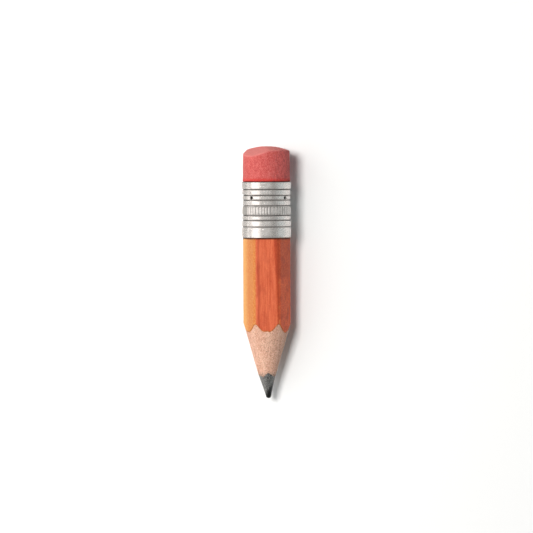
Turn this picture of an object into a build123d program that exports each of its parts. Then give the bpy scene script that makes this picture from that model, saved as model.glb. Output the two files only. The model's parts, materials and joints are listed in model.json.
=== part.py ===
from build123d import *

import os
from math import atan, cos, degrees, radians, sin, tan

# A short, well-used hexagonal graphite pencil: a sharpened point, a crimped metal ferrule and a worn
# eraser. Millimetres throughout.
#
# Each piece is drawn standing on the point of the lead: its axis is +Z, a height is a distance from the
# very end of the lead, and the barrel's flats that face +Y and -Y are its lower and upper ones.
# lay_down() then puts every piece on a table the way the pencil comes to rest: on its lower flat and the
# fat end of the ferrule, with the eraser towards +Y.

# Barrel: two cedar slats glued round the lead, planed to a hexagon and lacquered.
ACROSS_FLATS = 7.2
CORNER_RADIUS = 1.0
LACQUER_THICKNESS = 0.1
GLUE_THICKNESS = 0.06
CORE_DIAMETER = 2.8

# Sharpened end: one cone runs from the rounded tip over the lead and the wood.
POINT_ANGLE = 32.0
TIP_RADIUS = 0.46
WOOD_RIM = 0.06  # the wood breaks off where it is this thin round the lead

# Lengths along the axis.
TOTAL_LENGTH = 42.7
ERASER_EXPOSED = 6.0
FERRULE_LENGTH = 9.5
TENON_LENGTH = 5.1
TENON_RADIUS = 3.74  # trims the bare wood's corners and leaves its flats
PLUG_GAP = 0.15  # between the end of the tenon and the eraser

# Ferrule: thin aluminium tube. Each band is its length and its crest radius, from the barrel's
# shoulder to the eraser, and a rolled groove parts each band from the next.
SHEET = 0.25
BANDS = (
    (1.9, 4.15),
    (1.1, 4.14),
    (0.8, 4.10),
    (1.65, 4.06),
    (0.95, 4.06),
    (0.8, 4.06),
    (1.0, 4.08),
    (1.3, 4.15),
)
FLUTED_BAND = 3
PRICKED_BAND = 5
GROOVE_WIDTH = 0.34
GROOVE_DEPTH = 0.14  # deep enough to bite into the tenon
BAND_CROWN = 0.035  # how far a band's edges fall below its crest
RIM_TAPER = 0.06  # how far the first band closes in on the barrel at its rim
FLUTE_COUNT = 48
FLUTE_RADIUS = 0.17
FLUTE_DEPTH = 0.09
FLUTE_END = 0.16  # plain metal left at each end of a flute
FERRULE_SEAM = 360 / 128  # turn of the round wall: drawn with 64 chords, it rests on a chord's middle

# Punch marks that pin the eraser in the sleeve.
PRICK_COUNT = 4
FIRST_PRICK = -39.0  # turn about the axis from the upper flat towards +X
PRICK_RADIUS = 0.27
PRICK_DEPTH = 0.7

# Eraser: a moulded rod, worn to a crown, with one side rubbed down.
ERASER_DIAMETER = 8.04
CROWN_RADIUS = 10.5
CROWN_EDGE_FILLET = 0.35
WEAR_TURN = 50.0  # of the rubbed side about the axis, from the upper flat towards -X
WEAR_SLOPE = 35.0  # of the rubbed side, from square to the axis
WEAR_INSET = 2.0  # from the axis to where the rubbed side starts

# Worked out from the dimensions above.
HALF_ANGLE = radians(POINT_ANGLE / 2)
SLOPE = tan(HALF_ANGLE)
APEX = TIP_RADIUS * (1 - 1 / sin(HALF_ANGLE))  # where the cone would end if it came to a point
CORE_RADIUS = CORE_DIAMETER / 2
WOOD_START = APEX + (CORE_RADIUS + WOOD_RIM) / SLOPE
TONGUE = APEX + ACROSS_FLATS / 2 / SLOPE  # foremost point of a painted flat
SHOULDER = TOTAL_LENGTH - ERASER_EXPOSED - FERRULE_LENGTH
MOUTH = SHOULDER + FERRULE_LENGTH
TENON_TOP = SHOULDER + TENON_LENGTH
PLUG_BOTTOM = TENON_TOP + PLUG_GAP
CLEAR = 2 * ACROSS_FLATS  # any size well outside the pencil


def turned(profile):
    """The solid of revolution of a closed profile whose X is the radius and whose Y is the height."""
    return revolve(Rot(X=90) * make_face(profile), Axis.Z)


def hexagonal_bar(across_flats, corner_radius):
    """A bar with rounded corners, and with two flats square to Y."""
    outline = RegularPolygon(across_flats / 2, 6, major_radius=False)
    return extrude(fillet(outline.vertices(), corner_radius), TOTAL_LENGTH)


def slab(bottom, top):
    """Everything between two heights."""
    return Pos(0, 0, (bottom + top) / 2) * Box(CLEAR, CLEAR, top - bottom)


def band_starts():
    """Height of the lower edge of each band, and of the mouth."""
    starts = [SHOULDER]
    for length, _ in BANDS:
        starts.append(starts[-1] + length)
    return starts


def band_middle(index):
    starts = band_starts()
    return (starts[index] + starts[index + 1]) / 2


def ferrule_wall(inset):
    """The sleeve's outside from shoulder to mouth, as a chain of arcs moved inwards by inset."""
    starts = band_starts()
    edges = []
    end = None
    for index, (_, crest) in enumerate(BANDS):
        low, high = starts[index], starts[index + 1]
        first, last = index == 0, index == len(BANDS) - 1
        bottom = low if first else low + GROOVE_WIDTH / 2
        top = high if last else high - GROOVE_WIDTH / 2
        edge_radius = crest - BAND_CROWN - inset
        rim_radius = edge_radius - (RIM_TAPER if first else 0)
        if end:
            floor = min(end[0], edge_radius) - GROOVE_DEPTH
            edges.append(ThreePointArc(end, (floor, low), (edge_radius, bottom)))
        middle = (crest - inset, (bottom + top) / 2)
        end = (edge_radius, top)
        edges.append(ThreePointArc((rim_radius, bottom), middle, end))
    return edges


def closed_to_axis(edges):
    """A chain of edges closed by straight lines to the axis and along it."""
    start, end = edges[0] @ 0, edges[-1] @ 1
    return edges + [Polyline(end, (0, end.Y), (0, start.Y), start)]


def bore_fill():
    """What fills the sleeve from shoulder to mouth, pressed into its grooves."""
    return turned(closed_to_axis(ferrule_wall(SHEET)))


def sharpening_cone():
    """What the sharpener leaves, from the wood's front edge to the shoulder, before the flats."""
    start = ((WOOD_START - APEX) * SLOPE, WOOD_START)
    end = ((SHOULDER - APEX) * SLOPE, SHOULDER)  # clears the hexagon's corners by far
    halfway = ((start[0] + end[0]) / 2, (start[1] + end[1]) / 2)
    side = Bezier(start, halfway, end)  # straight, but the flats cut it in splines
    ends = Polyline(end, (0, SHOULDER), (0, WOOD_START), start)
    return Rot(Z=90) * turned([side, ends])  # its seam lies along the middle of a flat


def barrel_envelope():
    """What the sharpener and the tenon cutter leave, before the flats."""
    tenon = Pos(0, 0, SHOULDER + TENON_LENGTH / 2) * Cylinder(TENON_RADIUS, TENON_LENGTH)
    return sharpening_cone() + (tenon & bore_fill())


def eraser_pricks():
    """Conical punch tips, their bases on the sleeve's surface and their points towards the axis."""
    crest = BANDS[PRICKED_BAND][1]
    tip = Pos(0, -crest + PRICK_DEPTH / 2, band_middle(PRICKED_BAND)) * Rot(X=-90) * Cone(
        PRICK_RADIUS, 0, PRICK_DEPTH
    )
    step = 360 / PRICK_COUNT
    return [Rot(Z=FIRST_PRICK + step * i) * tip for i in range(PRICK_COUNT)]


def graphite_core():
    """The lead: a rounded tip, the sharpened cone, and a rod that runs on to the end of the tenon."""
    cone_start = (TIP_RADIUS * cos(HALF_ANGLE), TIP_RADIUS * (1 - sin(HALF_ANGLE)))
    halfway = (radians(90) - HALF_ANGLE) / 2
    tip_middle = (TIP_RADIUS * sin(halfway), TIP_RADIUS * (1 - cos(halfway)))
    cone_end = (CORE_RADIUS, APEX + CORE_RADIUS / SLOPE)
    rod_end = (CORE_RADIUS, TENON_TOP)
    tip = ThreePointArc((0, 0), tip_middle, cone_start)
    rest = Polyline(cone_start, cone_end, rod_end, (0, TENON_TOP), (0, 0))
    return turned([tip, rest])


def wood():
    """Both slats and the glue between them, bored for the lead, sharpened and tenoned."""
    bar = hexagonal_bar(ACROSS_FLATS - 2 * LACQUER_THICKNESS, CORNER_RADIUS - LACQUER_THICKNESS)
    bore = Pos(0, 0, TOTAL_LENGTH / 2) * Cylinder(CORE_RADIUS, 2 * TOTAL_LENGTH)
    return (bar & barrel_envelope()) - bore


def wood_slat(side):
    """One half of the wood: side is 1 for the lower slat, which faces +Y, and -1 for the upper."""
    half = Pos(0, side * (CLEAR + GLUE_THICKNESS) / 2, 0) * Box(CLEAR, CLEAR, 4 * TOTAL_LENGTH)
    return wood() & half


def slat_glue_film():
    """The two strips of glue, one each side of the lead."""
    return wood() & Box(CLEAR, GLUE_THICKNESS, 4 * TOTAL_LENGTH)


def lacquer_coat():
    """The coat on the six flats: the sharpener cuts it to tongues, and the tenon cutter ends it."""
    outer = hexagonal_bar(ACROSS_FLATS, CORNER_RADIUS)
    inner = hexagonal_bar(ACROSS_FLATS - 2 * LACQUER_THICKNESS, CORNER_RADIUS - LACQUER_THICKNESS)
    return (outer - inner) & sharpening_cone()


def ferrule():
    """The sleeve: its wall, flutes round one band, and punch marks round another."""
    sleeve = Rot(Z=FERRULE_SEAM) * (turned(closed_to_axis(ferrule_wall(0))) - bore_fill())
    flute_length = BANDS[FLUTED_BAND][0] - 2 * FLUTE_END
    flute_axis = BANDS[FLUTED_BAND][1] + FLUTE_RADIUS - FLUTE_DEPTH
    flute = Pos(flute_axis, 0, band_middle(FLUTED_BAND)) * Cylinder(FLUTE_RADIUS, flute_length)
    sleeve -= [Rot(Z=360 / FLUTE_COUNT * i) * flute for i in range(FLUTE_COUNT)]
    return sleeve - eraser_pricks()


def eraser():
    """A plug that fills the sleeve above the tenon, and a stub that stands out of the mouth."""
    stub = Pos(0, 0, MOUTH + ERASER_EXPOSED / 2) * Cylinder(ERASER_DIAMETER / 2, ERASER_EXPOSED)
    stub &= Pos(0, 0, TOTAL_LENGTH - CROWN_RADIUS) * Sphere(CROWN_RADIUS)
    rings = stub.edges().filter_by(lambda edge: edge.is_closed)
    stub = fillet(rings.sort_by(Axis.Z)[-1], CROWN_EDGE_FILLET)
    wear_start = Pos(-WEAR_INSET, 0, TOTAL_LENGTH - WEAR_INSET**2 / (2 * CROWN_RADIUS))
    worn_off = wear_start * Rot(Y=-WEAR_SLOPE) * Pos(0, 0, CLEAR / 2) * Box(CLEAR, CLEAR, CLEAR)
    stub -= Rot(Z=90 - WEAR_TURN) * worn_off
    plug = bore_fill() & slab(PLUG_BOTTOM, MOUTH)
    return stub + plug - eraser_pricks()


def resting_tilt():
    """Degrees from the table to the axis, when the lower flat's tongue and the first band touch it."""
    crest = BANDS[0][1]
    return degrees(atan((crest - ACROSS_FLATS / 2) / (band_middle(0) - TONGUE)))


def lay_down(pieces):
    """Turns the pieces on to the table together, with the middle of their box over the origin."""
    turn = Rot(X=-90 + resting_tilt())
    turned_pieces = {name: turn * piece for name, piece in pieces.items()}
    box = Compound(list(turned_pieces.values())).bounding_box()
    shift = Pos(-box.center().X, -box.center().Y, -box.min.Z)
    return {name: shift * piece for name, piece in turned_pieces.items()}


def main():
    pieces = {
        "wood_slat_upper": wood_slat(-1),
        "wood_slat_lower": wood_slat(1),
        "slat_glue_film": slat_glue_film(),
        "graphite_core": graphite_core(),
        "lacquer_coat": lacquer_coat(),
        "ferrule": ferrule(),
        "eraser": eraser(),
    }
    os.makedirs("parts", exist_ok=True)
    for name, piece in lay_down(pieces).items():
        export_step(piece, f"parts/{name}.step")
        print(name, round(piece.volume, 2), piece.bounding_box())


main()
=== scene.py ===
from collections import namedtuple
from itertools import product
import json
import math

import bpy
import numpy as np
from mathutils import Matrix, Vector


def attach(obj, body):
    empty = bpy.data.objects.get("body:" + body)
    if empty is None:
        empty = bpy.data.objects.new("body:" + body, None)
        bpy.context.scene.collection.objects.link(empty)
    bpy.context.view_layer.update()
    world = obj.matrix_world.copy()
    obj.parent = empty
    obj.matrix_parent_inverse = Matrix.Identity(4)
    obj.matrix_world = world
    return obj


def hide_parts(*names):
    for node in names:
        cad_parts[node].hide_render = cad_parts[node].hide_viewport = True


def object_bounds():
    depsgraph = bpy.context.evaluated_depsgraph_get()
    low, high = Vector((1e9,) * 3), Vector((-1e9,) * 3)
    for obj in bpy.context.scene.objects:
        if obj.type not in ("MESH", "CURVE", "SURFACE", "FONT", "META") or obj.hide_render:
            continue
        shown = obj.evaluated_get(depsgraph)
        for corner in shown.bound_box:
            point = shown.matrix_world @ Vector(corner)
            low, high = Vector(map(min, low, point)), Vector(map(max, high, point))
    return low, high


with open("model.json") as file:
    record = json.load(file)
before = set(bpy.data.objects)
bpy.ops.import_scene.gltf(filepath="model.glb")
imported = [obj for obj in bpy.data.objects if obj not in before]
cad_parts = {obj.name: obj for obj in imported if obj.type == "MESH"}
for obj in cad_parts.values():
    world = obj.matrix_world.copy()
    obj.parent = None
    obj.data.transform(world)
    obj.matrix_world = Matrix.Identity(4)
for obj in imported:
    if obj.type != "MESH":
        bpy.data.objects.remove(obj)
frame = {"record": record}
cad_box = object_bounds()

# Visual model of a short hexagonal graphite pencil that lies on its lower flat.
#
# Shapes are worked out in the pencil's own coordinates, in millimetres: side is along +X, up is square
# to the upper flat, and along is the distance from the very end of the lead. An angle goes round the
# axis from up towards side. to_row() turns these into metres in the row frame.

# --- Dimensions of the CAD model, in millimetres and radians ---------------------------------------

ACROSS_FLATS = 7.2
CORNER_RADIUS = 1.0
LACQUER = 0.1
GLUE = 0.06
CORE_RADIUS = 1.4
TIP_RADIUS = 0.46
HALF_ANGLE = math.radians(16.0)
SLOPE = math.tan(HALF_ANGLE)
APEX = TIP_RADIUS * (1 - 1 / math.sin(HALF_ANGLE))
TOTAL_LENGTH = 42.7
SHOULDER = 27.2
MOUTH = 36.7
TENON_TOP = 32.3
TENON_RADIUS = 3.74
PLUG_BOTTOM = 32.45
SHEET = 0.25
BANDS = (  # length and crest radius of each band of the ferrule, from the barrel to the eraser
    (1.9, 4.15),
    (1.1, 4.14),
    (0.8, 4.10),
    (1.65, 4.06),
    (0.95, 4.06),
    (0.8, 4.06),
    (1.0, 4.08),
    (1.3, 4.15),
)
RIBBED_BAND = 3
PRICKED_BAND = 5
FIRST_PRICK = math.radians(-39.0)
PRICKS = 4
ERASER_RADIUS = 4.02
ERASER_MOUNT_ALONG = MOUTH + 2.3
HAIR = 0.003  # gap left between two pieces that touch

# --- The row frame ---------------------------------------------------------------------------------

MM = 0.001
mounts = {mount["name"]: mount for mount in frame["record"]["mounts"]}
SIDE = np.array([1.0, 0.0, 0.0])
UP = np.array(mounts["upper_flat"]["axis"])
AXIS = np.array(mounts["eraser_end"]["axis"])
TIP = np.array(mounts["eraser_end"]["pos_m"]) - AXIS * ERASER_MOUNT_ALONG * MM


def to_row(points):
    """Points given as (side, up, along) in millimetres, as row-frame points in metres."""
    return TIP + MM * (points @ np.array([SIDE, UP, AXIS]))


def polar(angle, radius, along):
    """Points at radius(angle, along), as (side, up, along)."""
    angle, radius, along = np.broadcast_arrays(angle, radius, along)
    return np.stack([radius * np.sin(angle), radius * np.cos(angle), along], axis=-1)


# --- Noise for shapes ------------------------------------------------------------------------------

SCATTER = (374761393, 668265263, 2147483647)  # large steps, so that neighbours get unlike values
STIR = 1274126177
LOW_32_BITS = 0xFFFFFFFF
LOW_16_BITS = 0xFFFF
OCTAVE_SHIFT = 17.3  # moves each octave away from the others' lattice points


def lattice_value(x, y, z, seed):
    """A repeatable value from 0 to 1 for each whole-number lattice point."""
    mixed = (x * SCATTER[0] + y * SCATTER[1] + z * SCATTER[2] + seed * STIR) & LOW_32_BITS
    mixed = ((mixed ^ (mixed >> 13)) * STIR) & LOW_32_BITS
    return ((mixed ^ (mixed >> 16)) & LOW_16_BITS) / LOW_16_BITS


def smooth(value, low, high):
    """0 at low, 1 at high, held beyond them, and a smooth step between."""
    part = np.clip((value - low) / (high - low), 0, 1)
    return part * part * (3 - 2 * part)


def noise(points, seed, octaves=1):
    """Smooth noise from -1 to 1 at an array of 3-D points, one lattice cell to the unit."""
    total = np.zeros(points.shape[:-1])
    weights = 0.0
    for octave in range(octaves):
        scaled = points * 2.0**octave + OCTAVE_SHIFT * octave
        cell = np.floor(scaled).astype(np.int64)
        part = smooth(scaled - cell, 0, 1)
        value = np.zeros(points.shape[:-1])
        for corner in product((0, 1), repeat=3):
            x, y, z = np.moveaxis(cell + corner, -1, 0)
            share = np.prod(np.where(corner, part, 1 - part), axis=-1)
            value += lattice_value(x, y, z, seed + octave) * share
        weight = 0.5**octave
        total += weight * (2 * value - 1)
        weights += weight
    return total / weights


def around_noise(angle, frequency, seed, octaves=1, along=0.0):
    """Noise that joins up round the axis, about frequency bumps to the turn."""
    return noise(polar(angle, frequency / math.tau, along), seed, octaves)


# --- Sections of the pencil ------------------------------------------------------------------------

CONE_UNEVENNESS = 0.035
BLADE_MARK = 0.004
BLADE_MARKS = 21  # how closely the marks follow each other: radians to the millimetre
LEAD_STEP = 0.035  # how far the lead lies below the wood round it
LEAD_DIVE = 0.45  # length over which the hidden lead reaches its full radius

# Where the wood ends on the lead: turn about the axis in degrees, and distance from the tip.
BORDER = (
    (0, 4.34), (5, 4.46), (34, 3.98), (62, 3.64), (92, 3.95), (128, 3.68), (171, 4.30),
    (214, 3.66), (240, 4.02), (270, 3.84), (301, 3.93), (332, 3.63), (360, 4.34),
)


def hexagon(angle, across_flats, corner_radius):
    """Radius of a hexagon with rounded corners and a flat facing up."""
    sixth = math.radians(60)
    turn = np.abs((angle + sixth / 2) % sixth - sixth / 2)
    half = across_flats / 2
    corner = (half - corner_radius) / math.cos(sixth / 2)
    to_corner = sixth / 2 - turn
    flat = half / np.cos(turn)
    inside = np.clip(corner_radius**2 - (corner * np.sin(to_corner)) ** 2, 0, None)
    rounded = corner * np.cos(to_corner) + np.sqrt(inside)
    on_flat = np.tan(turn) * half <= (half - corner_radius) * math.tan(sixth / 2)
    return np.where(on_flat, flat, rounded)


def lacquer_section(angle):
    return hexagon(angle, ACROSS_FLATS, CORNER_RADIUS)


def wood_section(angle):
    return hexagon(angle, ACROSS_FLATS - 2 * LACQUER, CORNER_RADIUS - LACQUER)


def cut_cone(angle, along):
    """Radius that the sharpener left: a cone, a little uneven, with faint marks of the blade."""
    uneven = CONE_UNEVENNESS * around_noise(angle, 5, seed=3, along=along / 6)
    wander = around_noise(angle, 9, seed=4)
    blade_marks = BLADE_MARK * np.sin(along * BLADE_MARKS + 2 * angle + 2 * wander)
    return (along - APEX) * SLOPE + uneven + blade_marks * smooth(along, 3.6, 5.0)


def wood_border(angle):
    """The jagged end of the wood, with broken fibres."""
    fibres = 0.045 * around_noise(angle, 90, seed=6) + 0.02 * around_noise(angle, 230, seed=7)
    return np.interp(np.degrees(angle) % 360, *zip(*BORDER)) + fibres


def lead_surface(angle, along):
    """Radius of the lead: the cut cone up to the wood's end, then a rod that dives under the wood."""
    border = wood_border(angle)
    cone = cut_cone(angle, along) - LEAD_STEP
    flush = cut_cone(angle, border) - LEAD_STEP
    under = flush + (CORE_RADIUS - flush) * smooth(along, border, border + LEAD_DIVE)
    return np.where(along < border, cone, np.minimum(cone, under))


def neck(radius, along):
    """The bare wood's radius, trimmed to the tenon beyond the shoulder."""
    return np.where(along > SHOULDER, np.minimum(radius, TENON_RADIUS), radius)


# --- Ferrule sections ------------------------------------------------------------------------------

GROOVE_WIDTH = 0.26
GROOVE_DEPTH = 0.14
BAND_CROWN = 0.035
CROWN_POWER = 2.4
RIM_TAPER = 0.06
RIM_TAPER_LENGTH = 0.55
RIM_ROUND = 0.1
BAND_STARTS = SHOULDER + np.concatenate([[0], np.cumsum([length for length, _ in BANDS])])
RIBBED_MIDDLE = BAND_STARTS[RIBBED_BAND] + BANDS[RIBBED_BAND][0] / 2
PRICKED_MIDDLE = BAND_STARTS[PRICKED_BAND] + BANDS[PRICKED_BAND][0] / 2
RIBS = 48
RIB_HALF_WIDTH = 0.215
RIB_HEIGHT = 0.08
RIB_BED = 0.045  # depth of the sunk band between the ribs
RIB_END_GAP = 0.17
PRICK_DEPTH = 0.5
PRICK_RADIUS = 0.36
PRICK_FLOOR = 0.06
LIP_HEIGHT = 0.035
LIP_RADIUS = 0.42
LIP_WIDTH = 0.09
BAND_ROUNDING = 1e-6  # keeps the last row of points inside the last band


def ferrule_profile(along):
    """The sleeve's outer radius: crowned bands parted by rolled grooves."""
    radius = np.zeros_like(along)
    for start, (length, crest) in zip(BAND_STARTS, BANDS):
        inside = (along >= start) & (along <= start + length + BAND_ROUNDING)
        across = (along - start) / length * 2 - 1
        radius = np.where(inside, crest - BAND_CROWN * np.abs(across) ** CROWN_POWER, radius)
    for start in BAND_STARTS[1:-1]:
        away = np.abs(along - start) / (GROOVE_WIDTH / 2)
        radius = radius - GROOVE_DEPTH * (1 - smooth(away, 0.1, 1.25))
    return radius - RIM_TAPER * (1 - smooth(along, SHOULDER, SHOULDER + RIM_TAPER_LENGTH))


def pressed_ribs(angle, along):
    """Height of the ring of pressed ribs, each a rounded bar with round ends."""
    length, crest = BANDS[RIBBED_BAND]
    pitch = math.tau / RIBS
    uneven_pitch = 0.012 * np.sin(7 * angle) + 0.008 * np.sin(11 * angle + 1)
    across = ((angle + uneven_pitch + pitch / 2) % pitch - pitch / 2) * crest
    middle = along - RIBBED_MIDDLE
    beyond = np.maximum(np.abs(middle) - (length / 2 - RIB_END_GAP - RIB_HALF_WIDTH), 0)
    outward = np.hypot(across, beyond) / RIB_HALF_WIDTH
    bar = np.sqrt(np.clip(1 - outward**2, 0, 1))
    inside_band = 1 - smooth(np.abs(middle), length / 2 - 0.2, length / 2 - 0.08)
    uneven_press = 1 + 0.25 * around_noise(angle, 31, seed=23)
    return inside_band * (RIB_HEIGHT * bar * uneven_press - RIB_BED)


def prick_distance(angle, along):
    """Distance from the middle of the nearest punch mark, over the surface."""
    pitch = math.tau / PRICKS
    turn = (angle - FIRST_PRICK + pitch / 2) % pitch - pitch / 2
    return np.hypot(turn * BANDS[PRICKED_BAND][1], along - PRICKED_MIDDLE)


def pressed_pricks(angle, along):
    """Depth of the punch marks: steep cones with a soft raised lip."""
    distance = prick_distance(angle, along)
    hole = PRICK_DEPTH * (1 - smooth(distance, PRICK_FLOOR, PRICK_RADIUS))
    lip = LIP_HEIGHT * np.exp(-(((distance - LIP_RADIUS) / LIP_WIDTH) ** 2))
    return lip - hole


def handling_dents(angle, along):
    """The shallow waves of a thin tube that has been rolled, crimped and handled."""
    broad = 0.018 * around_noise(angle, 9, seed=21, along=along / 2.2)
    fine = 0.006 * around_noise(angle, 40, seed=22, along=along / 0.5)
    return broad + fine


def sleeve_surface(angle, along, inset):
    """Radius of the pressed sheet, inset from its outside."""
    pressed = pressed_ribs(angle, along) + pressed_pricks(angle, along) + handling_dents(angle, along)
    return ferrule_profile(along) + pressed - inset


def sleeve_inside(angle, along, inset):
    """As sleeve_surface, without the raised part of the ribs, which doesn't show inside."""
    return sleeve_surface(angle, along, inset) - np.clip(pressed_ribs(angle, along), 0, None)


# --- Eraser sections -------------------------------------------------------------------------------

CROWN_RADIUS = 10.5
CHAMFER_SLOPE = math.radians(46)  # of the edge that faces -X
CHAMFER_START = 3.2
CHAMFER_DROP = 0.49
WORN_TURN = math.radians(47)  # of the rubbed side about the axis, from the upper flat towards -X
WORN_SLOPE = math.radians(30)
WORN_START = 1.6
WORN_DROP = 0.3
CAP_ROUND = 0.2
CRUMB_SINK = 0.03  # eraser_top() is this much high, and the worn end's crumbs sink it again


def smooth_minimum(a, b, width):
    """The lower of a and b, with the corner between them rounded over width."""
    part = np.clip(0.5 + 0.5 * (b - a) / width, 0, 1)
    return b + (a - b) * part - width * part * (1 - part)


def eraser_top(side, up):
    """Height of the worn end: a crown, rubbed down towards -X and towards the upper flat."""
    crown = TOTAL_LENGTH - (side**2 + up**2) / (2 * CROWN_RADIUS)
    chamfer = TOTAL_LENGTH - CHAMFER_DROP - (-side - CHAMFER_START) * math.tan(CHAMFER_SLOPE)
    towards = up * math.cos(WORN_TURN) - side * math.sin(WORN_TURN)
    rubbed = TOTAL_LENGTH - WORN_DROP - (towards - WORN_START) * math.tan(WORN_SLOPE)
    return smooth_minimum(smooth_minimum(crown, chamfer, 0.12), rubbed, 0.1) + CRUMB_SINK


# --- Meshes ----------------------------------------------------------------------------------------


def full_turn(columns):
    return np.linspace(0, math.tau, columns, endpoint=False)


def spaced(*stretches):
    """Distances made of stretches (start, end, count), each without its end, and the last end."""
    parts = [np.linspace(start, end, count, endpoint=False) for start, end, count in stretches]
    return np.concatenate(parts + [[stretches[-1][1]]])


def quarter_round(share):
    """0 at share 1 and beyond, and 1 at share 0, along a quarter of a circle."""
    return 1 - np.sqrt(np.clip(1 - (1 - np.clip(share, 0, 1)) ** 2, 0, 1))


def grid_quads(rows, columns, wrap_rows):
    """Corner numbers of the quads of a grid of points whose every row is a closed ring."""
    row = np.arange(rows if wrap_rows else rows - 1)[:, None]
    column = np.arange(columns)[None, :]
    next_row, next_column = (row + 1) % rows, (column + 1) % columns
    corners = [
        row * columns + column,
        row * columns + next_column,
        next_row * columns + next_column,
        next_row * columns + column,
    ]
    return np.stack(np.broadcast_arrays(*corners), axis=-1).reshape(-1, 4)


def fan(centre, ring):
    """Triangles from a centre point to a closed ring of point numbers."""
    return [(centre, ring[i], ring[(i + 1) % len(ring)]) for i in range(len(ring))]


def capped(rows, bottom, top):
    """A stack of closed rings, closed by a point below and a point above."""
    count, columns = rows.shape[:2]
    points = np.concatenate([rows.reshape(-1, 3), [bottom, top]])
    quads = grid_quads(count, columns, wrap_rows=False)
    first = list(range(columns))
    last = list(range((count - 1) * columns, count * columns))
    triangles = fan(count * columns, first) + fan(count * columns + 1, last[::-1])
    return points, quads, triangles


def capped_strip(rows):
    """A stack of closed rings, each end closed by quads between the two halves of its ring."""
    count, columns = rows.shape[:2]
    near = np.arange(columns // 2 - 1)
    far = columns - 1 - near
    across = np.stack([near, near + 1, far - 1, far], axis=-1)
    sides = grid_quads(count, columns, wrap_rows=False)
    quads = np.concatenate([sides, across[:, ::-1], across + (count - 1) * columns])
    return rows.reshape(-1, 3), quads


def volume_of(points, faces):
    """Volume inside the faces, negative where they face inwards."""
    total = 0.0
    for face in faces:
        a = points[face[:, 0]]
        for i in range(1, face.shape[1] - 1):
            b, c = points[face[:, i]], points[face[:, i + 1]]
            total += np.einsum("ij,ij->", a, np.cross(b, c))
    return total / 6


def make_piece(name, points, quads, triangles, sharp_degrees, nodes, attributes=()):
    """A closed mesh piece that rides on the root body and stands for its CAD nodes."""
    quads = np.asarray(quads, dtype=np.int64).reshape(-1, 4)
    triangles = np.asarray(triangles, dtype=np.int64).reshape(-1, 3)
    placed = to_row(points)
    if volume_of(placed, (quads, triangles)) < 0:
        quads, triangles = quads[:, ::-1], triangles[:, ::-1]
    mesh = bpy.data.meshes.new(name)
    mesh.from_pydata(placed.tolist(), [], quads.tolist() + triangles.tolist())
    mesh.shade_smooth()
    mesh.set_sharp_from_angle(angle=math.radians(sharp_degrees))
    place = mesh.attributes.new("pencil_mm", "FLOAT_VECTOR", "POINT")
    place.data.foreach_set("vector", points.astype(np.float32).ravel())
    for attribute, values in attributes:
        layer = mesh.attributes.new(attribute, "FLOAT", "POINT")
        layer.data.foreach_set("value", values.astype(np.float32).ravel())
    mesh.validate()
    piece = bpy.data.objects.new(name, mesh)
    bpy.context.scene.collection.objects.link(piece)
    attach(piece, "root")
    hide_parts(*nodes)
    return piece


# --- Materials -------------------------------------------------------------------------------------


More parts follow.
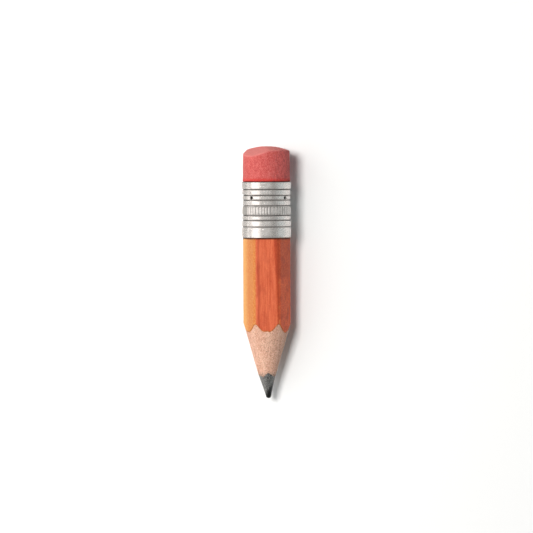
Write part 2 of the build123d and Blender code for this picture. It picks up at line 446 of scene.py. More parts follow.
class Shader:
    """A material's node tree, built one node at a time. Textures are in millimetres on the pencil."""

    def __init__(self, name, on_pencil=True):
        self.material = bpy.data.materials.new(name)
        self.material.use_nodes = True
        self.tree = self.material.node_tree
        self.tree.nodes.clear()
        self.bsdf = self.node("ShaderNodeBsdfPrincipled")
        output = self.node("ShaderNodeOutputMaterial")
        self.link(self.bsdf.outputs["BSDF"], output.inputs["Surface"])
        if on_pencil:
            self.place = self.node("ShaderNodeAttribute", attribute_name="pencil_mm").outputs["Vector"]
            parts = self.node("ShaderNodeSeparateXYZ")
            self.link(self.place, parts.inputs["Vector"])
            self.side, self.up, self.along = parts.outputs

    def node(self, kind, **settings):
        node = self.tree.nodes.new(kind)
        for setting, value in settings.items():
            setattr(node, setting, value)
        return node

    def link(self, source, target):
        self.tree.links.new(source, target)

    def feed(self, socket, value):
        """Links an output to a socket, or sets the socket to a plain value."""
        if isinstance(value, bpy.types.NodeSocket):
            self.link(value, socket)
        else:
            socket.default_value = value

    def mask(self, name):
        """A value that the piece's build function has stored at every point of its mesh."""
        return self.node("ShaderNodeAttribute", attribute_name=name).outputs["Fac"]

    def texture(self, kind, stretch):
        """A texture node that is stretched by a scale for each of side, up and along."""
        mapping = self.node("ShaderNodeMapping")
        self.link(self.place, mapping.inputs["Vector"])
        mapping.inputs["Scale"].default_value = stretch
        node = self.node(kind)
        self.link(mapping.outputs["Vector"], node.inputs["Vector"])
        node.inputs["Scale"].default_value = 1.0
        return node

    def noise(self, stretch, detail, roughness=0.5, distortion=0.0):
        node = self.texture("ShaderNodeTexNoise", stretch)
        node.inputs["Detail"].default_value = detail
        node.inputs["Roughness"].default_value = roughness
        node.inputs["Distortion"].default_value = distortion
        return node.outputs["Fac"]

    def cells(self, stretch):
        return self.texture("ShaderNodeTexVoronoi", stretch).outputs["Distance"]

    def spread(self, value, low, high, to_low=0.0, to_high=1.0):
        """value from low to high, spread over to_low to to_high and held there."""
        node = self.node("ShaderNodeMapRange", interpolation_type="SMOOTHSTEP")
        self.feed(node.inputs["Value"], value)
        for socket, number in zip(node.inputs[1:5], (low, high, to_low, to_high)):
            self.feed(socket, number)
        return node.outputs["Result"]

    def math(self, operation, a, b=0.0):
        node = self.node("ShaderNodeMath", operation=operation)
        self.feed(node.inputs[0], a)
        self.feed(node.inputs[1], b)
        return node.outputs["Value"]

    def offset(self, value, other, amount):
        """value plus amount times other, so that an edge found from it is ragged or slanted."""
        return self.math("ADD", value, self.math("MULTIPLY", other, amount))

    def mix(self, factor, a, b):
        node = self.node("ShaderNodeMix", data_type="RGBA")
        self.feed(node.inputs["Factor"], factor)
        self.feed(node.inputs["A"], a)
        self.feed(node.inputs["B"], b)
        return node.outputs["Result"]

    def tint(self, base, second, value, between, most=1.0):
        """The base colour, mixed with a second one while a value goes between two numbers."""
        return self.mix(self.spread(value, *between, 0.0, most), base, second)

    def bump(self, height, distance_mm, strength):
        node = self.node("ShaderNodeBump")
        self.link(height, node.inputs["Height"])
        node.inputs["Distance"].default_value = distance_mm * MM
        node.inputs["Strength"].default_value = strength
        return node.outputs["Normal"]

    def finish(self, **sockets):
        for name, value in sockets.items():
            self.feed(self.bsdf.inputs[name.replace("_", " ")], value)
        return self.material


def colour(red, green, blue):
    """A colour given as display values from 0 to 255, as a linear RGBA tuple."""
    linear = [
        value / 12.92 if value <= 0.04045 else ((value + 0.055) / 1.055) ** 2.4
        for value in (red / 255, green / 255, blue / 255)
    ]
    return (*linear, 1.0)


ORANGE = colour(195, 84, 57)
PALE_ORANGE = colour(213, 105, 73)
ORANGE_GRAIN = colour(228, 132, 80)
DEEP_ORANGE = colour(176, 72, 52)
ORANGE_TOOTH = colour(232, 146, 92)
GOLD = colour(184, 101, 48)
PALE_GOLD = colour(203, 132, 70)
PAINTED_HIGHLIGHT_GOLD = colour(226, 178, 108)
GOLD_TOOTH = colour(222, 162, 96)
AMBER = colour(206, 104, 38)
SHADED_RED = colour(206, 66, 32)
PALE_SHADED_RED = colour(250, 112, 58)
DEEPER_SHADED_RED = colour(124, 30, 18)
SHADED_RED_PATCH = colour(160, 48, 26)
SHADED_RED_TOOTH = colour(255, 132, 70)
PAINTED_SHADE_EDGE_RED = colour(156, 66, 46)
SCUFF = colour(168, 72, 52)
BARE_CORNER = colour(226, 158, 84)
PAINTED_RIM_SHADOW = colour(60, 30, 18)
CUT_EDGE = colour(122, 74, 36)
PALE_CUT_EDGE = colour(206, 134, 62)

# Where the lacquer's looks begin and are full, as distances from the axis towards +X.
# Painted light: gold on the flats towards -X, palest at the -X edge.
PAINTED_LIGHT_SIDE = (-1.45, -1.8)
PAINTED_LIGHT_EDGE = (-2.9, -3.9)
# Painted shade: red on the flats towards +X.
PAINTED_SHADE_SIDE = (2.75, 3.05)
# Painted shade: a darker band on the upper flat along its +X edge.
PAINTED_SHADE_ON_TOP = (2.2, 1.95)
SCUFF_PLACE = -1.38
SCUFF_HALF_WIDTH = (0.62, 0.36)

Film = namedtuple("Film", "streaks grain patches tooth")


def orange_film(shader, film):
    """The lacquer's own orange, streaky where the film is thicker or thinner."""
    orange = shader.tint(ORANGE, PALE_ORANGE, film.streaks, (0.36, 0.62))
    orange = shader.tint(orange, ORANGE_GRAIN, film.grain, (0.46, 0.74), 0.5)
    orange = shader.tint(orange, DEEP_ORANGE, film.patches, (0.52, 0.7), 0.4)
    return shader.tint(orange, ORANGE_TOOTH, film.tooth, (0.55, 0.63), 0.35)


def painted_light_gold_film(shader, film):
    """Gold painted light: the lit colour of the lacquer on the flats that face up and -X, palest at the
    -X edge.
    """
    gold = shader.tint(GOLD, PALE_GOLD, film.grain, (0.34, 0.66))
    gold = shader.tint(gold, PAINTED_HIGHLIGHT_GOLD, shader.side, PAINTED_LIGHT_EDGE, 0.7)
    gold = shader.tint(gold, GOLD_TOOTH, film.tooth, (0.52, 0.62), 0.55)
    return shader.tint(gold, AMBER, film.tooth, (0.46, 0.38), 0.5)


def painted_shade_red_film(shader, film):
    """Red painted shade: the shaded colour of the lacquer on the flats that face up and +X, with more
    painted shade near the ferrule.
    """
    rust = shader.tint(SHADED_RED, PALE_SHADED_RED, film.grain, (0.4, 0.64))
    # More painted shade on the +X flats near the ferrule.
    near_ferrule = shader.offset(shader.along, film.grain, 3.0)
    rust = shader.tint(rust, DEEPER_SHADED_RED, near_ferrule, (SHOULDER - 5.6, SHOULDER - 4.8), 0.3)
    rust = shader.tint(rust, SHADED_RED_PATCH, film.patches, (0.5, 0.64), 0.45)
    return shader.tint(rust, SHADED_RED_TOOTH, film.tooth, (0.54, 0.62), 0.5)


def lacquer_material():
    """Orange lacquer, thin and streaky, worn at edges, with painted light in gold towards -X and
    painted shade in red towards +X.
    """
    shader = Shader("orange_pencil_lacquer")
    streaks = shader.noise((2.8, 2.8, 0.22), detail=5, roughness=0.62)
    grain = shader.noise((7.5, 7.5, 4.2), detail=3, roughness=0.75)
    patches = shader.noise((0.9, 0.9, 0.45), detail=3)
    tooth = shader.noise((5.0, 5.0, 5.0), detail=2, roughness=0.9)
    film = Film(streaks, grain, patches, tooth)
    upper_half = shader.spread(shader.offset(shader.up, patches, 2.0), -0.3, 0.9)

    # Painted light: the lacquer is painted gold where its upper flats face -X.
    painted_light = shader.spread(shader.offset(shader.side, grain, 0.5), *PAINTED_LIGHT_SIDE)
    painted_light = shader.math("MULTIPLY", painted_light, upper_half)
    body = shader.mix(painted_light, orange_film(shader, film), painted_light_gold_film(shader, film))
    # Painted shade: the lacquer is painted a deeper red where its upper flats face +X.
    painted_shade = shader.offset(shader.offset(shader.side, tooth, 0.9), shader.along, 0.045)
    painted_shade = shader.math("MULTIPLY", shader.spread(painted_shade, *PAINTED_SHADE_SIDE, 0.0, 0.8), upper_half)
    body = shader.mix(painted_shade, body, painted_shade_red_film(shader, film))
    # Painted shade: a darker red band on the upper flat along its +X edge.
    on_top = shader.math("MULTIPLY", painted_shade, shader.spread(shader.side, *PAINTED_SHADE_ON_TOP, 0.0, 0.85))
    body = shader.mix(on_top, body, PAINTED_SHADE_EDGE_RED)

    scuff = shader.math("ABSOLUTE", shader.math("SUBTRACT", shader.side, SCUFF_PLACE))
    body = shader.tint(body, SCUFF, shader.offset(scuff, streaks, 0.6), SCUFF_HALF_WIDTH, 0.6)
    worn = shader.offset(shader.mask("worn"), grain, 0.5)
    body = shader.tint(body, BARE_CORNER, worn, (0.75, 1.05))
    # Painted shade: a dark line on the lacquer where it meets the ferrule's rim.
    at_ferrule = shader.offset(shader.along, grain, 0.4)
    body = shader.tint(body, PAINTED_RIM_SHADOW, at_ferrule, (SHOULDER - 0.1, SHOULDER + 0.1), 0.8)
    cut_edge = shader.tint(CUT_EDGE, PALE_CUT_EDGE, grain, (0.42, 0.62))
    body = shader.mix(shader.math("MULTIPLY", shader.mask("cut"), 0.8), body, cut_edge)

    scratches = shader.noise((14, 14, 0.6), detail=2)
    return shader.finish(
        Base_Color=body,
        Roughness=shader.spread(grain, 0.3, 0.7, 0.36, 0.52),
        Normal=shader.bump(shader.offset(streaks, scratches, 0.3), 0.03, 0.35),
        Specular_IOR_Level=0.16,
        Coat_Weight=0.04,
        Coat_Roughness=0.2,
    )


CEDAR = colour(214, 164, 140)
PALE_CEDAR = colour(228, 184, 160)
CEDAR_FIBRE = colour(184, 128, 102)
CEDAR_PORE = colour(112, 80, 66)
DARK_SPECK = colour(126, 92, 78)
PALE_SPECK = colour(242, 206, 188)
GRAPHITE_DUST = colour(96, 88, 84)


def cedar_material():
    """Cut cedar: pale pinkish wood with long fibres, open pores and graphite dust."""
    shader = Shader("sharpened_cedar")
    fibres = shader.noise((9.0, 9.0, 0.9), detail=5, roughness=0.6, distortion=0.4)
    rings = shader.noise((1.3, 1.3, 0.14), detail=2)
    pores = shader.cells((5.6, 5.6, 3.2))
    specks = shader.noise((7.0, 7.0, 5.4), detail=2, roughness=0.8)
    wood = shader.tint(CEDAR, PALE_CEDAR, rings, (0.35, 0.65))
    wood = shader.tint(wood, CEDAR_FIBRE, fibres, (0.42, 0.68), 0.6)
    wood = shader.tint(wood, CEDAR_PORE, pores, (0.17, 0.04), 0.75)
    wood = shader.tint(wood, DARK_SPECK, specks, (0.54, 0.68), 0.9)
    wood = shader.tint(wood, PALE_SPECK, specks, (0.46, 0.34), 0.8)
    by_the_lead = shader.offset(shader.along, specks, -2.2)
    wood = shader.tint(wood, GRAPHITE_DUST, by_the_lead, (3.6, 2.5), 0.75)
    relief = shader.math("ADD", fibres, shader.spread(pores, 0.0, 0.15, 0.0, 0.6))
    return shader.finish(
        Base_Color=wood,
        Roughness=shader.spread(fibres, 0.3, 0.7, 0.62, 0.8),
        Normal=shader.bump(relief, 0.05, 0.6),
        Specular_IOR_Level=0.3,
    )


DARK_GRAPHITE = colour(60, 60, 59)
PALE_GRAPHITE = colour(150, 149, 146)
WORN_AND_SHADED_GRAPHITE = colour(14, 14, 14)


def graphite_material():
    """Graphite: a grey sheen scored by the blade, nearly black where the point is worn, and darker
    towards +X as painted shade.
    """
    shader = Shader("sharpened_graphite")
    fine = shader.noise((6.5, 6.5, 6.5), detail=4, roughness=0.85)
    scores = shader.noise((2.0, 2.0, 20.0), detail=3, roughness=0.6)
    lead = shader.tint(DARK_GRAPHITE, PALE_GRAPHITE, fine, (0.4, 0.6))
    # Nearly black towards the point, where the graphite is worn, and further up on the +X side, as
    # painted shade.
    worn_point_and_shade = shader.offset(shader.offset(shader.along, fine, 0.8), shader.side, -1.5)
    lead = shader.tint(lead, WORN_AND_SHADED_GRAPHITE, worn_point_and_shade, (2.3, 1.0), 0.95)
    return shader.finish(
        Base_Color=lead,
        Roughness=shader.spread(scores, 0.3, 0.7, 0.32, 0.48),
        Normal=shader.bump(shader.offset(fine, scores, 0.8), 0.03, 0.6),
        Metallic=0.3,
    )


ALUMINIUM = colour(240, 234, 230)
STAINED_ALUMINIUM = colour(210, 202, 197)
PAINTED_SHADE_ALUMINIUM = colour(150, 147, 142)
GROOVE_DIRT_AND_SHADE = colour(52, 48, 46)
LACQUER_SMEAR = colour(196, 116, 52)


def ferrule_material():
    """Rolled aluminium gone dull: fine turning lines, faint stains, painted shade on the side towards
    -X, and dirt with painted shade in the grooves, rims, punch marks and between the ribs.
    """
    shader = Shader("rolled_aluminium")
    turning = shader.noise((1.6, 1.6, 40.0), detail=3, roughness=0.6)
    stains = shader.noise((3.0, 3.0, 5.0), detail=4, roughness=0.7)
    dirt_and_shade = shader.mask("dirt_and_shade")
    metal = shader.tint(ALUMINIUM, STAINED_ALUMINIUM, stains, (0.36, 0.66))
    # Painted shade: darker grey on the side of the sleeve towards -X.
    painted_shade_side = shader.offset(shader.side, stains, 1.2)
    metal = shader.tint(metal, PAINTED_SHADE_ALUMINIUM, painted_shade_side, (-2.4, -2.9), 0.75)
    # Dirt and painted shade: dark in the grooves, at the rims, in the punch marks and between the ribs.
    metal = shader.tint(metal, GROOVE_DIRT_AND_SHADE, dirt_and_shade, (0.05, 1.0))
    near_rim = shader.spread(shader.offset(shader.along, stains, 1.4), SHOULDER + 0.85, SHOULDER + 0.7)
    smear = shader.math("MULTIPLY", near_rim, shader.spread(shader.side, 1.4, 2.0))
    metal = shader.mix(shader.math("MULTIPLY", smear, 0.6), metal, LACQUER_SMEAR)
    roughness = shader.spread(stains, 0.3, 0.7, 0.2, 0.34)
    roughness = shader.spread(dirt_and_shade, 0.1, 0.8, roughness, 0.7)
    roughness = shader.spread(shader.mask("matt"), 0.0, 1.0, roughness, 0.5)
    return shader.finish(
        Base_Color=metal,
        Metallic=0.6,
        Roughness=roughness,
        Normal=shader.bump(turning, 0.012, 0.32),
    )


RUBBER = colour(184, 74, 71)
PALE_RUBBER = colour(196, 90, 87)
RUBBER_GRAIN = colour(228, 134, 126)
RUBBED_AND_LIT_RUBBER = colour(218, 128, 122)
PAINTED_FILL_RUBBER = colour(224, 112, 108)
FRESH_RUBBER = colour(200, 50, 42)
RIM_SHADOW = colour(96, 28, 26)
PAINTED_SHADE_SPECKLE = colour(120, 50, 54)


def eraser_material():
    """Pink-red rubber: paler where it is rubbed down, partly as painted light; painted paler and
    speckled with painted shade towards +X; fresh by the ferrule.
    """
    shader = Shader("worn_eraser_rubber")
    grain = shader.noise((7, 7, 7), detail=4, roughness=0.75)
    streaks = shader.noise((2.2, 2.2, 1.1), detail=4, roughness=0.65)
    shade_speckle_noise = shader.noise((3.0, 3.0, 1.3), detail=5, roughness=0.85)
    pits = shader.cells((6, 6, 6))
    rubber = shader.tint(RUBBER, PALE_RUBBER, streaks, (0.36, 0.64))
    rubber = shader.tint(rubber, RUBBER_GRAIN, grain, (0.46, 0.66), 0.75)
    # The worn end is paler: rubbed rubber, and partly painted light.
    worn = shader.math("MULTIPLY", shader.mask("worn"), shader.spread(grain, 0.25, 0.6, 0.5, 1.0))
    rubber = shader.mix(worn, rubber, RUBBED_AND_LIT_RUBBER)
    # Painted light towards +X: the rubber is painted paler there, as a painted fill.
    painted_side_distance = shader.offset(shader.side, streaks, 2.4)
    rubber = shader.tint(rubber, PAINTED_FILL_RUBBER, painted_side_distance, (2.0, 4.4), 0.4)
    at_rim = shader.offset(shader.along, grain, 0.5)
    rubber = shader.tint(rubber, FRESH_RUBBER, at_rim, (MOUTH + 1.05, MOUTH + 0.45), 0.7)
    rubber = shader.tint(rubber, RIM_SHADOW, at_rim, (MOUTH + 0.38, MOUTH + 0.28))
    # Painted shade: dark speckles, more of them towards +X.
    painted_shade_amount = shader.spread(painted_side_distance, 1.6, 3.4, 0.1, 0.5)
    rubber = shader.tint(rubber, PAINTED_SHADE_SPECKLE, shade_speckle_noise, (0.47, 0.6), painted_shade_amount)
    relief = shader.math("ADD", grain, shader.spread(pits, 0.0, 0.3, 0.0, 0.5))
    return shader.finish(
        Base_Color=rubber,
        Roughness=0.8,
        Normal=shader.bump(relief, 0.06, 0.55),
        Specular_IOR_Level=0.25,
    )


DRY_GLUE = colour(176, 132, 92)
PALE_GLUE = colour(206, 166, 122)


def glue_material():
    """Dried wood glue, uneven where it was squeezed out."""
    shader = Shader("slat_glue")
    beads = shader.noise((10, 10, 3), detail=3)
    film = shader.tint(DRY_GLUE, PALE_GLUE, beads, (0.35, 0.65))
    return shader.finish(Base_Color=film, Roughness=0.5, Normal=shader.bump(beads, 0.02, 0.4))


# --- Pieces ----------------------------------------------------------------------------------------


def build_lacquer():
    """The lacquer coat: a tube on the slats, cut thin by the sharpener and chipped along that edge."""
    angle = full_turn(480)
    wood = wood_section(angle)
    coat = lacquer_section(angle)
    chips = 0.28 + 0.2 * around_noise(angle, 22, seed=31, octaves=3)
    chips = chips + 0.22 * smooth(around_noise(angle, 17, seed=32), 0.45, 0.9)
    reach = APEX + wood / SLOPE
    for _ in range(4):  # the uneven cone moves the place where the wood's flats begin
        reach = reach + (wood - cut_cone(angle, reach)) / SLOPE
    front = reach + chips
    length = SHOULDER + 0.02 - front

    outer_along = front + length * spaced((0, 0.12, 22), (0.12, 1.0, 70))[:, None]
    waves = 0.006 * around_noise(angle, 30, seed=33, octaves=2, along=outer_along / 1.4)
    outer = np.minimum(coat + waves, cut_cone(angle, outer_along))
    outer = np.maximum(outer, np.minimum(wood, cut_cone(angle, outer_along)) + 0.006)
    inner_along = front + length * np.linspace(1, 0, 12)[:, None]
    inner = np.minimum(wood, cut_cone(angle, inner_along)) + 0.002
    rows = np.concatenate([polar(angle, outer, outer_along), polar(angle, inner, inner_along)])
    quads = grid_quads(len(rows), len(angle), wrap_rows=True)

    from_edge = outer_along - front
    cut = 1 - smooth(from_edge, 0.05, 0.24)
    corner = smooth(coat, 3.93, 4.0)
    near_edge = 1 - smooth(from_edge, 0.2, 1.3)
    scuffs = around_noise(angle, 60, seed=34, octaves=3, along=outer_along / 0.6)
    worn = np.clip(corner * (0.34 + 0.5 * scuffs) + 0.12 * near_edge * (0.6 + scuffs), 0, 1)
    inside = np.zeros_like(inner)
    piece = make_piece(
        "lacquer_coat_skin", rows.reshape(-1, 3), quads, [], 32, ["lacquer_coat"],
        [("cut", np.concatenate([cut, inside])), ("worn", np.concatenate([worn, inside]))],
    )
    piece.data.materials.append(lacquer_material())


JOINT_RADIUS = 3.9  # of the barrel's side corners, where the slats meet
CONE_END = 12.6  # beyond this the lacquer covers the wood
FIBRE_DEPTH = 0.012


def build_slat(name, node, middle, material):
    """One cedar slat facing an angle, from the jagged end at the lead to the end of the tenon."""
    fraction = np.linspace(-1, 1, 200)
    outer_angle = middle + fraction * math.acos(GLUE / 2 / JOINT_RADIUS)
    inner_angle = middle + fraction * math.acos(GLUE / 2 / CORE_RADIUS)
    steps = spaced((0, 0.012, 8), (0.012, 0.34, 150), (0.34, 0.78, 24), (0.78, 1.0, 24))
    start = wood_border(outer_angle)
    along = start + (TENON_TOP - start) * steps[:, None]

    outer = np.minimum(wood_section(outer_angle), cut_cone(outer_angle, along))
    fibres = noise(polar(outer_angle, outer, along) * np.array([9, 9, 0.8]), seed=41, octaves=2)
    on_cone = 1 - smooth(along, CONE_END, CONE_END + 0.6)
    outer = neck(outer + on_cone * FIBRE_DEPTH * fibres - FIBRE_DEPTH * on_cone, along)
    outer = np.maximum(outer, lead_surface(outer_angle, along) + 0.02)
    inner = lead_surface(inner_angle, along) + HAIR
    rows = [polar(outer_angle, outer, along), polar(inner_angle, inner, along)[:, ::-1]]
    points, quads = capped_strip(np.concatenate(rows, axis=1))
    piece = make_piece(name, points, quads, [], 50, [node])
    piece.data.materials.append(material)


def build_glue():
    """The glue between the slats: a thin strip each side of the lead, its outline the slats' own."""
    half = GLUE / 2 - 0.002
    steps = spaced((0, 0.34, 90), (0.34, 1.0, 30))
    points, quads = [], []
    for sign in (-1, 1):
        angle = np.array(sign * math.pi / 2)
        start = wood_border(angle)
        along = start + (TENON_TOP - start) * steps
        outer = neck(np.minimum(wood_section(angle), cut_cone(angle, along)) - 0.006, along)
        inner = lead_surface(angle, along) + HAIR
        outer = np.maximum(outer, inner + 0.01)
        section = [(outer, half), (outer, -half), (inner, -half), (inner, half)]
        edges = [np.stack([sign * out, np.full_like(out, up), along], axis=-1) for out, up in section]
        strip_points, strip_quads = capped_strip(np.stack(edges, axis=1))
        if sign < 0:  # the mirrored strip's faces would point inwards
            strip_quads = strip_quads[:, ::-1]
        quads.append(strip_quads + sum(len(block) for block in points))
        points.append(strip_points)
    piece = make_piece(
        "slat_glue_strips", np.concatenate(points), np.concatenate(quads), [], 30,
        ["slat_glue_film"],
    )
    piece.data.materials.append(glue_material())


LEAN = 0.26  # towards +X at the very tip, as worn by drawing


def build_lead():
    """The graphite lead, its point rounded and leaning a little, as left by drawing."""
    angle = full_turn(256)
    cone_start = TIP_RADIUS * (1 - math.sin(HALF_ANGLE))
    arc = np.linspace(0.06, math.pi / 2 - HALF_ANGLE, 26)
    tip_along = TIP_RADIUS * (1 - np.cos(arc))
    cone_along = spaced((cone_start, 4.9, 150), (4.9, 12.0, 20), (12.0, TENON_TOP, 20))[1:]
    along = np.concatenate([tip_along, cone_along])[:, None]
    ball = np.concatenate([TIP_RADIUS * np.sin(arc), np.zeros_like(cone_along)])[:, None]
    cone = lead_surface(angle, np.maximum(along, cone_start))
    cone = cone + LEAD_STEP * (1 - smooth(along, cone_start, 1.2))
    radius = np.where(along < cone_start, ball, cone)

    facets = 0.02 * around_noise(angle, 7, seed=51, along=along / 2.5)
    scores = 0.006 * around_noise(angle, 14, seed=52, octaves=2, along=along * 6)
    bare = 1 - smooth(along, 3.3, 3.7)
    rows = polar(angle, radius + bare * smooth(along, 0.0, 0.5) * (facets + scores), along)
    lean = LEAN * (1 - smooth(along, -1.5, 4.4))
    rows[..., 0] += lean
    points, quads, triangles = capped(rows, (lean[0, 0], 0.0, 0.0), (0.0, 0.0, TENON_TOP))
    piece = make_piece(
        "graphite_lead", points, quads, triangles, 60, ["graphite_core"]
    )
    piece.data.materials.append(graphite_material())


def on_ribs(along):
    return np.abs(along - RIBBED_MIDDLE) < 0.75


def ferrule_dirt_and_shade(angle, along):
    """How dark the sleeve is painted, real dirt and painted shade together: most in the grooves, at the
    rims and in the punch marks, less between the ribs.
    """
    groove = np.zeros_like(along)
    for start in BAND_STARTS[1:-1]:
        groove = np.maximum(groove, 0.8 * (1 - smooth(np.abs(along - start), 0.03, 0.12)))
    for rim in (SHOULDER, MOUTH):
        groove = np.maximum(groove, 0.9 * (1 - smooth(np.abs(along - rim), 0.06, 0.15)))
    hole = 1 - smooth(prick_distance(angle, along), 0.2, 0.35)
    between = np.where(on_ribs(along), smooth(-pressed_ribs(angle, along), 0.02, RIB_BED), 0.0)
    return np.maximum(np.maximum(groove, hole), 0.62 * between)


def build_ferrule():
    """The sleeve: one sheet pressed with bands, ribs and punch marks, its rims rounded."""
    angle = full_turn(RIBS * 8)
    ribs_start, ribs_end = BAND_STARTS[RIBBED_BAND], BAND_STARTS[RIBBED_BAND + 1]
    mouth = BAND_STARTS[-1]
    along = spaced(
        (SHOULDER, SHOULDER + RIM_ROUND, 5),
        (SHOULDER + RIM_ROUND, ribs_start, 62),
        (ribs_start, ribs_end, 40),
        (ribs_end, mouth - RIM_ROUND, 72),
        (mouth - RIM_ROUND, mouth, 5),
    )[:, None]
    from_rim = np.minimum(along - SHOULDER, MOUTH - along)
    outer = sleeve_surface(angle, along, 0.0) - SHEET * 0.4 * quarter_round(from_rim / RIM_ROUND)
    back = along[::-6]
    back = np.concatenate([back, along[:1]]) if back[-1] != along[0] else back
    inner = sleeve_inside(angle, back, SHEET)
    rows = np.concatenate([polar(angle, outer, along), polar(angle, inner, back)])
    quads = grid_quads(len(rows), len(angle), wrap_rows=True)

    inside = np.zeros_like(inner)
    dirt_and_shade = np.concatenate([ferrule_dirt_and_shade(angle, along), inside])
    matt = np.concatenate([on_ribs(along) * np.ones_like(outer), inside])
    piece = make_piece(
        "ferrule_sleeve", rows.reshape(-1, 3), quads, [], 45, ["ferrule"],
        [("dirt_and_shade", dirt_and_shade), ("matt", matt)],
    )
    piece.data.materials.append(ferrule_material())


def eraser_wall(angle, edge):
    """Heights and radii of the stub's wall, from the ferrule's mouth up to the rim of its worn end."""
    steps = spaced((0, 0.06, 8), (0.06, 0.9, 70), (0.9, 1.0, 14))[:, None]
    along = MOUTH + HAIR + (edge - CAP_ROUND - MOUTH) * steps
    swell = 0.05 * (1 - smooth(along, MOUTH + 0.05, MOUTH + 1.2))
    tuck = 0.10 * (1 - smooth(along, MOUTH, MOUTH + 0.22)) ** 2
    taper = 0.05 * smooth(along, 38.5, 42.0)
    streaks = 0.015 * around_noise(angle, 34, seed=61, octaves=2, along=along / 1.6)
    return along, ERASER_RADIUS - 0.045 + swell - tuck - taper + streaks


def eraser_cap(angle, rim_radius):
    """Heights and radii of the worn end, from its rim in towards the axis, with crumbs and pits."""
    share = spaced((0, 0.1, 16), (0.1, 1.0, 60))[1:-1, None]
    radius = rim_radius * (1 - share)
    along = eraser_top(radius * np.sin(angle), radius * np.cos(angle))
    along = along - CAP_ROUND * quarter_round(share / 0.06)
    crumbs = noise(polar(angle, radius, along) * 3.2, seed=62, octaves=3)
    pits = noise(polar(angle, radius, along) * 7.0, seed=63, octaves=2)
    roughened = 0.03 * crumbs + 0.015 * pits - CRUMB_SINK
    return along + roughened * smooth(share, 0.0, 0.06), radius


def build_eraser():
    """The eraser: a plug in the sleeve, a stub swollen a little over the rim, and a worn end."""
    angle = full_turn(320)
    plug_along = spaced((PLUG_BOTTOM, MOUTH, 60))[:-1, None]
    plug = sleeve_inside(angle, plug_along, SHEET + 0.004)
    edge = eraser_top(ERASER_RADIUS * np.sin(angle), ERASER_RADIUS * np.cos(angle))
    wall_along, wall = eraser_wall(angle, edge)
    cap_along, cap = eraser_cap(angle, wall[-1])
    rings = ((plug, plug_along), (wall, wall_along), (cap, cap_along))
    rows = np.concatenate([polar(angle, radius, along) for radius, along in rings])
    centre = float(eraser_top(0.0, 0.0)) - CRUMB_SINK
    points, quads, triangles = capped(rows, (0.0, 0.0, PLUG_BOTTOM), (0.0, 0.0, centre))

    worn_wall = 0.5 * smooth(wall_along, edge - 0.35, edge - 0.05)
    worn = np.concatenate([np.zeros_like(plug), worn_wall, np.ones_like(cap_along)]).ravel()
    worn = np.append(worn, [0.0, 1.0])
    piece = make_piece(
        "eraser_stub", points, quads, triangles, 70, ["eraser"], [("worn", worn)]
    )
    piece.data.materials.append(eraser_material())


build_lacquer()
cedar = cedar_material()
build_slat("upper_slat", "wood_slat_upper", 0.0, cedar)
build_slat("lower_slat", "wood_slat_lower", math.pi, cedar)
build_glue()
build_lead()
build_ferrule()
build_eraser()


# --- Floor, lights and camera ----------------------------------------------------------------------

FLOOR_HALF = 0.3
SKY_TINT = (0.84, 0.97, 1.0, 1.0)
SKY_RISE = (0.65, 1.0)  # of the X direction, over which the sky brightens
SKY_LOW = 0.03
SKY_HIGH = 0.75
VIEW_WIDTH = 90.2 * MM  # across the picture, at half the pencil's height
VIEW_SHIFT = (-0.05 * MM, 1.0 * MM)  # of the camera from above the pencil's middle
VIEW_TURN = math.radians(-0.25)
PAPER = (0.96, 0.96, 0.96, 1.0)


def build_floor():
    mesh = bpy.data.meshes.new("paper_floor")
    corners = [(-1, -1), (1, -1), (1, 1), (-1, 1)]
    mesh.from_pydata([(FLOOR_HALF * x, FLOOR_HALF * y, 0) for x, y in corners], [], [(0, 1, 2, 3)])
    floor = bpy.data.objects.new("paper_floor", mesh)
    bpy.context.scene.collection.objects.link(floor)
    shader = Shader("white_paper", on_pencil=False)
    mesh.materials.append(shader.finish(Base_Color=PAPER, Roughness=0.9))


def softbox(name, azimuth, elevation, distance, size, radiance, tint, glossy=True):
    """A rectangular light that faces the pencil. Azimuth 0 is towards +Y and 90 towards -X."""
    light = bpy.data.lights.new(name, "AREA")
    light.shape = "RECTANGLE"
    light.size, light.size_y = size
    light.energy = radiance * math.pi * size[0] * size[1]
    light.color = tint
    lamp = bpy.data.objects.new(name, light)
    turn, lift = math.radians(azimuth), math.radians(elevation)
    lamp.location = (
        -distance * math.sin(turn) * math.cos(lift),
        distance * math.cos(turn) * math.cos(lift),
        distance * math.sin(lift),
    )
    lamp.rotation_euler = (math.pi / 2 - lift, 0, turn + math.pi)
    lamp.visible_glossy = glossy
    bpy.context.scene.collection.objects.link(lamp)


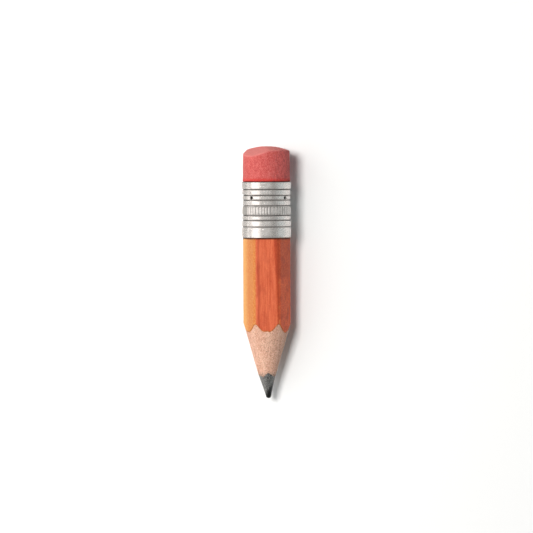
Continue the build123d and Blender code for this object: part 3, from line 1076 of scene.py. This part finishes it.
def build_sky():
    """A dim studio, lit from the horizon on the side away from the key light, with a white backdrop."""
    world = bpy.data.worlds.new("studio")
    bpy.context.scene.world = world
    world.use_nodes = True
    nodes, links = world.node_tree.nodes, world.node_tree.links
    direction = nodes.new("ShaderNodeTexCoord")
    parts = nodes.new("ShaderNodeSeparateXYZ")
    level = nodes.new("ShaderNodeMapRange")
    links.new(direction.outputs["Generated"], parts.inputs["Vector"])
    links.new(parts.outputs["X"], level.inputs["Value"])
    for socket, value in zip(level.inputs[1:5], (*SKY_RISE, SKY_LOW, SKY_HIGH)):
        socket.default_value = value
    sky = nodes["Background"]
    sky.inputs["Color"].default_value = SKY_TINT
    links.new(level.outputs["Result"], sky.inputs["Strength"])
    backdrop = nodes.new("ShaderNodeBackground")
    backdrop.inputs["Color"].default_value = (1.0, 1.0, 1.0, 1.0)
    backdrop.inputs["Strength"].default_value = 1.0
    seen = nodes.new("ShaderNodeLightPath")
    either = nodes.new("ShaderNodeMixShader")
    links.new(seen.outputs["Is Camera Ray"], either.inputs["Fac"])
    links.new(sky.outputs["Background"], either.inputs[1])
    links.new(backdrop.outputs["Background"], either.inputs[2])
    links.new(either.outputs["Shader"], nodes["World Output"].inputs["Surface"])


def build_light():
    build_sky()
    softbox(
        "key", azimuth=66, elevation=69, distance=0.6, size=(0.17, 0.17), radiance=33.5,
        tint=(1.0, 0.985, 0.965), glossy=False,
    )
    softbox(
        "left_wall", azimuth=90, elevation=36, distance=0.5, size=(0.7, 0.42), radiance=1.75,
        tint=(1.0, 0.99, 0.97),
    )
    softbox(
        "ceiling", azimuth=0, elevation=90, distance=0.75, size=(0.6, 0.6), radiance=0.37,
        tint=(0.94, 1.0, 1.0),
    )


def build_camera():
    """Straight above and far off, so little tapers; the pencil sits a little below the centre."""
    camera = bpy.data.cameras.new("camera")
    camera.lens = 180
    camera.sensor_width = 36
    camera.clip_start = 0.01
    viewer = bpy.data.objects.new("camera", camera)
    height = VIEW_WIDTH * camera.lens / camera.sensor_width
    lowest, highest = cad_box
    middle = (lowest + highest) / 2
    viewer.location = (middle.x + VIEW_SHIFT[0], middle.y + VIEW_SHIFT[1], highest.z / 2 + height)
    viewer.rotation_euler = (0, 0, VIEW_TURN)
    bpy.context.scene.collection.objects.link(viewer)
    bpy.context.scene.camera = viewer


build_floor()
build_light()
build_camera()
bpy.context.scene.view_settings.view_transform = "Standard"
